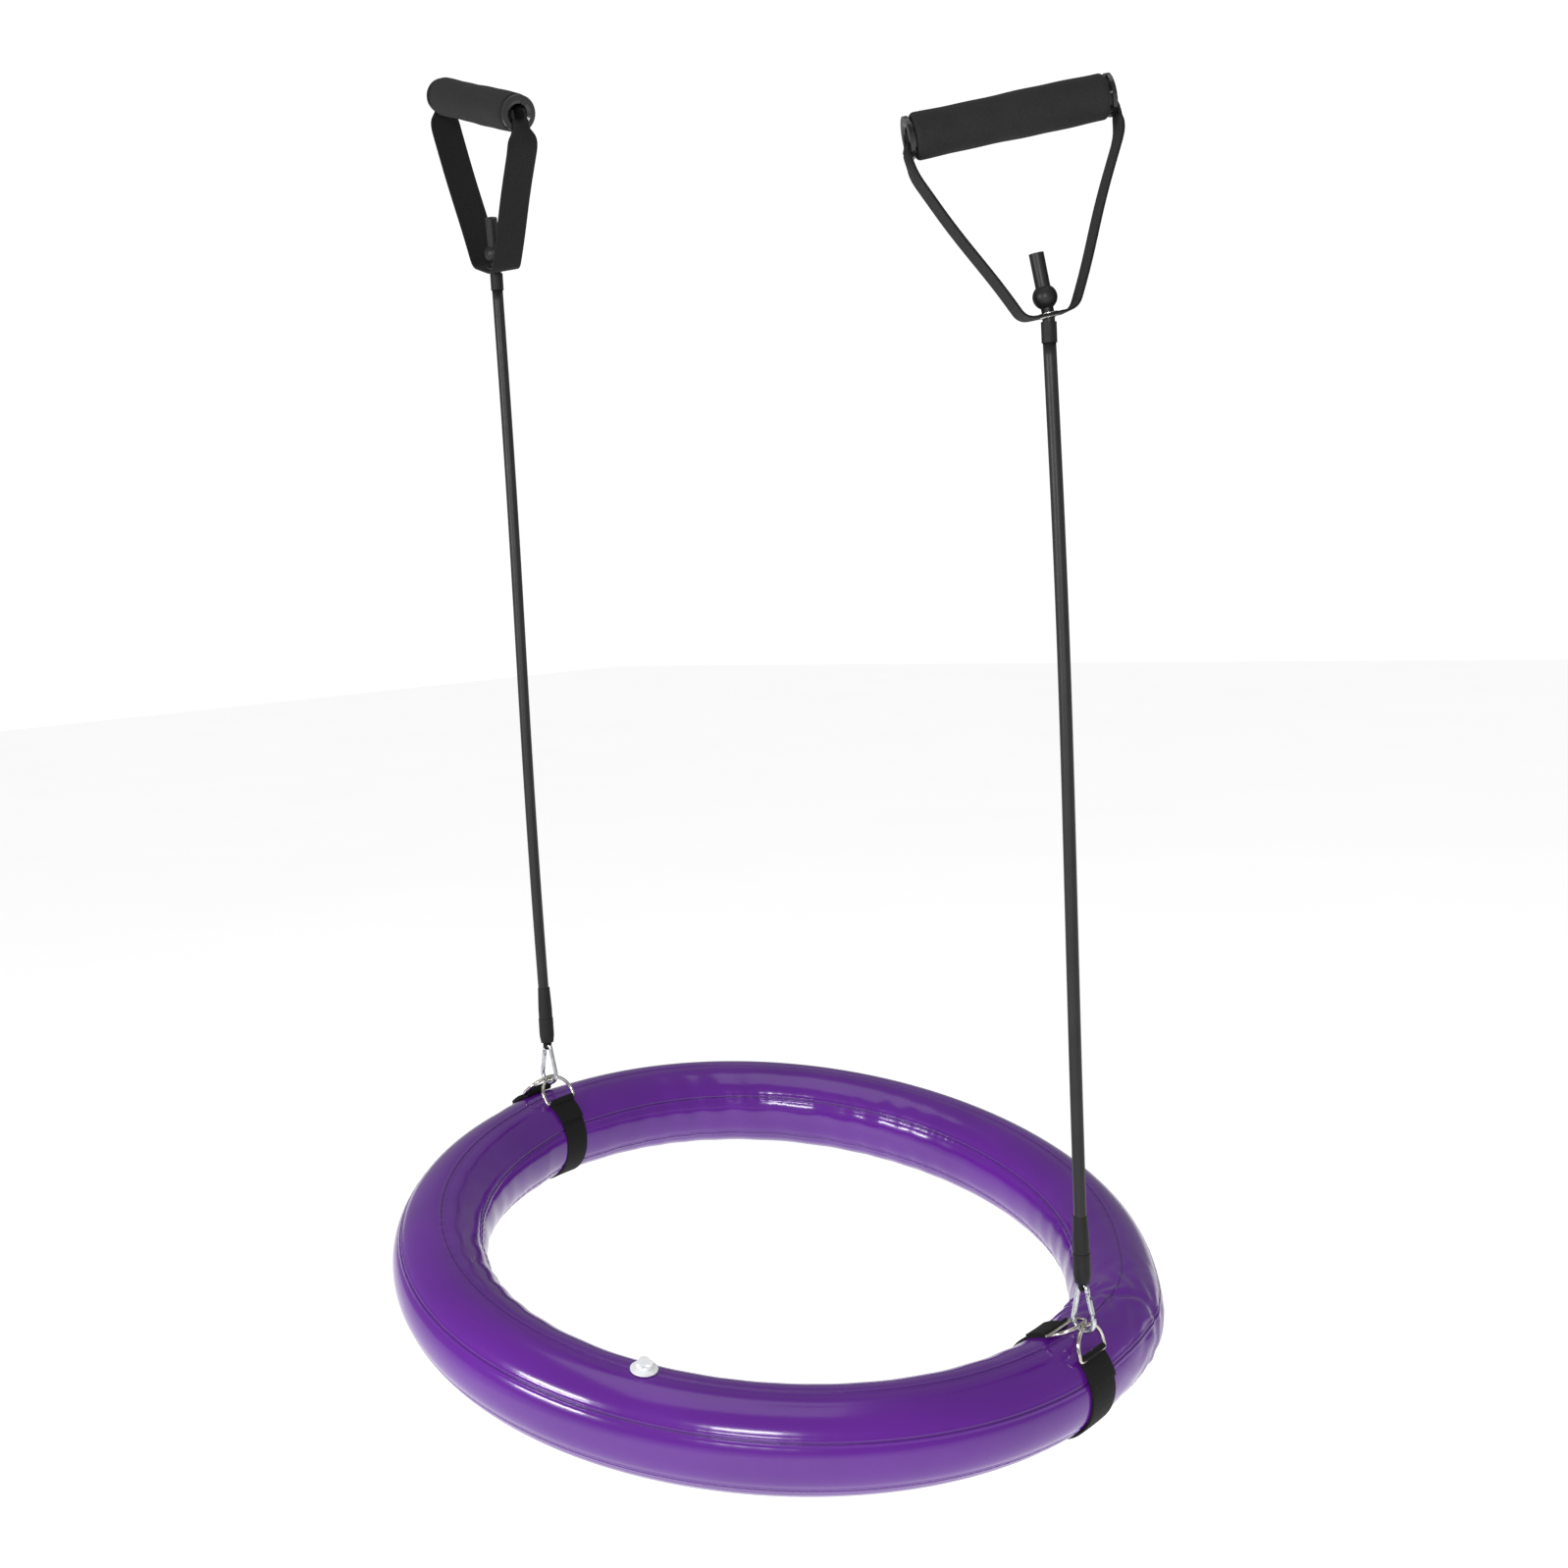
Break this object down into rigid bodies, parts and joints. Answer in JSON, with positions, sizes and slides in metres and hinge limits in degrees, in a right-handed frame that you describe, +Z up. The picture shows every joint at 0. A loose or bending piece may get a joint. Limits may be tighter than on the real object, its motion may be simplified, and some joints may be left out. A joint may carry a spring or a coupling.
{
  "type": "inflatable swing ring",
  "caption": "Inflatable tube ring slung from elastic pull cords with foam hand grips, clipped on by snap hooks, dee rings and webbing straps.",
  "frame": {"origin": "midway between the two grommets that the cords hang from", "axes": "+Z up, along the hanging cords; +X towards the lower handle, with both cords in the XZ plane"},
  "size_m": [0.6289, 0.6016, 1.039],
  "materials": {
    "ring_film": "glossy slightly translucent welded vinyl film",
    "valve": "translucent white moulded vinyl",
    "strap_webbing": "woven black webbing",
    "nickel": "nickel-plated wire",
    "zinc": "zinc-plated steel wire",
    "cord_rubber": "smooth satin latex tube",
    "sleeve_rubber": "matt black sleeve",
    "loop_cord": "braided black cord",
    "handle_webbing": "woven black webbing",
    "grommet_metal": "plated brass",
    "foam": "closed-cell foam",
    "hard_plastic": "plain moulded plastic",
    "cap_plastic": "glossy moulded plastic"
  },
  "bodies": {
    "cord_tops": {"left_tube_head": "cord_rubber", "left_plug_ball": "hard_plastic", "left_top_collar": "sleeve_rubber", "right_tube_head": "cord_rubber", "right_plug_ball": "hard_plastic", "right_top_collar": "sleeve_rubber"},
    "cord_ends": {"left_elastic_cord": "cord_rubber", "left_end_sleeve": "sleeve_rubber", "left_binding_sleeve": "sleeve_rubber", "left_end_loop": "loop_cord", "right_elastic_cord": "cord_rubber", "right_end_sleeve": "sleeve_rubber", "right_binding_sleeve": "sleeve_rubber", "right_end_loop": "loop_cord"},
    "snap_hooks": {"left_snap_hook": "zinc", "right_snap_hook": "zinc"},
    "ring": {"ring_bladder": "ring_film", "valve_stem": "valve", "left_strap": "strap_webbing", "right_strap": "strap_webbing"},
    "valve_cap": {"valve_cap": "valve"},
    "left_handle": {"left_handle_sling": "handle_webbing", "left_grommet_eyelet": "grommet_metal", "left_grommet_washer": "grommet_metal"},
    "left_grip": {"left_foam_grip": "foam", "left_grip_core": "hard_plastic", "left_grip_cap_near": "cap_plastic", "left_grip_cap_far": "cap_plastic"},
    "left_hook_gate": {"left_hook_gate": "zinc", "left_gate_pin": "zinc"},
    "left_outer_dee": {"left_outer_dee_ring": "nickel"},
    "left_inner_dee": {"left_inner_dee_ring": "nickel"},
    "right_handle": {"right_handle_sling": "handle_webbing", "right_grommet_eyelet": "grommet_metal", "right_grommet_washer": "grommet_metal"},
    "right_grip": {"right_foam_grip": "foam", "right_grip_core": "hard_plastic", "right_grip_cap_near": "cap_plastic", "right_grip_cap_far": "cap_plastic"},
    "right_hook_gate": {"right_hook_gate": "zinc", "right_gate_pin": "zinc"},
    "right_outer_dee": {"right_outer_dee_ring": "nickel"},
    "right_inner_dee": {"right_inner_dee_ring": "nickel"}
  },
  "joints": [
    {"name": "cord_stretch", "type": "slide", "parent": "cord_tops", "child": "cord_ends", "axis": [0, 0, -1], "range_m": [0, 0.2], "stiffness_N_per_m": 200, "springref_m": -0.045, "deforming": ["left_elastic_cord", "right_elastic_cord"]},
    {"name": "hook_swing", "type": "hinge", "parent": "cord_ends", "child": "snap_hooks", "pos_m": [0, 0, -0.6645], "axis": [0.9802, 0.0002, -0.1982], "range_deg": [-15, 15]},
    {"name": "ring_tilt", "type": "hinge", "parent": "snap_hooks", "child": "ring", "pos_m": [0, 0, -0.6979], "axis": [0.9802, 0.0002, -0.1982], "range_deg": [-20, 20]},
    {"name": "left_handle_swivel", "type": "hinge", "parent": "cord_tops", "child": "left_handle", "pos_m": [-0.26685, -0.00004, 0.05047], "axis": [0.2355, -0.2628, 0.9357], "continuous": true},
    {"name": "left_grip_spin", "type": "hinge", "parent": "left_handle", "child": "left_grip", "pos_m": [-0.23624, -0.0342, 0.17211], "axis": [0.919, -0.2531, -0.3024], "continuous": true},
    {"name": "left_gate_open", "type": "hinge", "parent": "snap_hooks", "child": "left_hook_gate", "pos_m": [-0.27135, -0.00004, -0.61756], "axis": [0, -1, 0], "range_deg": [0, 24], "stiffness_Nm_per_rad": 0.01, "springref_deg": -28.65},
    {"name": "left_outer_dee_lift", "type": "hinge", "parent": "ring", "child": "left_outer_dee", "pos_m": [-0.285, 0.00043, -0.65292], "axis": [-0.0075, -0.9993, -0.0377], "range_deg": [0, 3]},
    {"name": "left_inner_dee_lift", "type": "hinge", "parent": "ring", "child": "left_inner_dee", "pos_m": [-0.25505, 0.0004, -0.65812], "axis": [0.0075, 0.9993, 0.0377], "range_deg": [0, 3]},
    {"name": "right_handle_swivel", "type": "hinge", "parent": "cord_tops", "child": "right_handle", "pos_m": [0.26685, 0.00004, -0.05047], "axis": [-0.1105, -0.1302, 0.9853], "continuous": true},
    {"name": "right_grip_spin", "type": "hinge", "parent": "right_handle", "child": "right_grip", "pos_m": [0.25249, -0.01689, 0.07762], "axis": [0.6968, 0.6968, 0.1702], "continuous": true},
    {"name": "right_gate_open", "type": "hinge", "parent": "snap_hooks", "child": "right_hook_gate", "pos_m": [0.27135, 0.00004, -0.7255], "axis": [0, 1, 0], "range_deg": [0, 24], "stiffness_Nm_per_rad": 0.01, "springref_deg": -28.65},
    {"name": "right_outer_dee_lift", "type": "hinge", "parent": "ring", "child": "right_outer_dee", "pos_m": [0.27313, 0.00061, -0.76808], "axis": [0.0075, 0.9993, 0.0377], "range_deg": [0, 3]},
    {"name": "right_inner_dee_lift", "type": "hinge", "parent": "ring", "child": "right_inner_dee", "pos_m": [0.24525, 0.00032, -0.75493], "axis": [-0.0075, -0.9993, -0.0377], "range_deg": [0, 3]},
    {"name": "valve_cap_pull", "type": "slide", "parent": "ring", "child": "valve_cap", "axis": [0.1941, -0.0384, 0.9802], "range_m": [0, 0.01]}
  ]
}
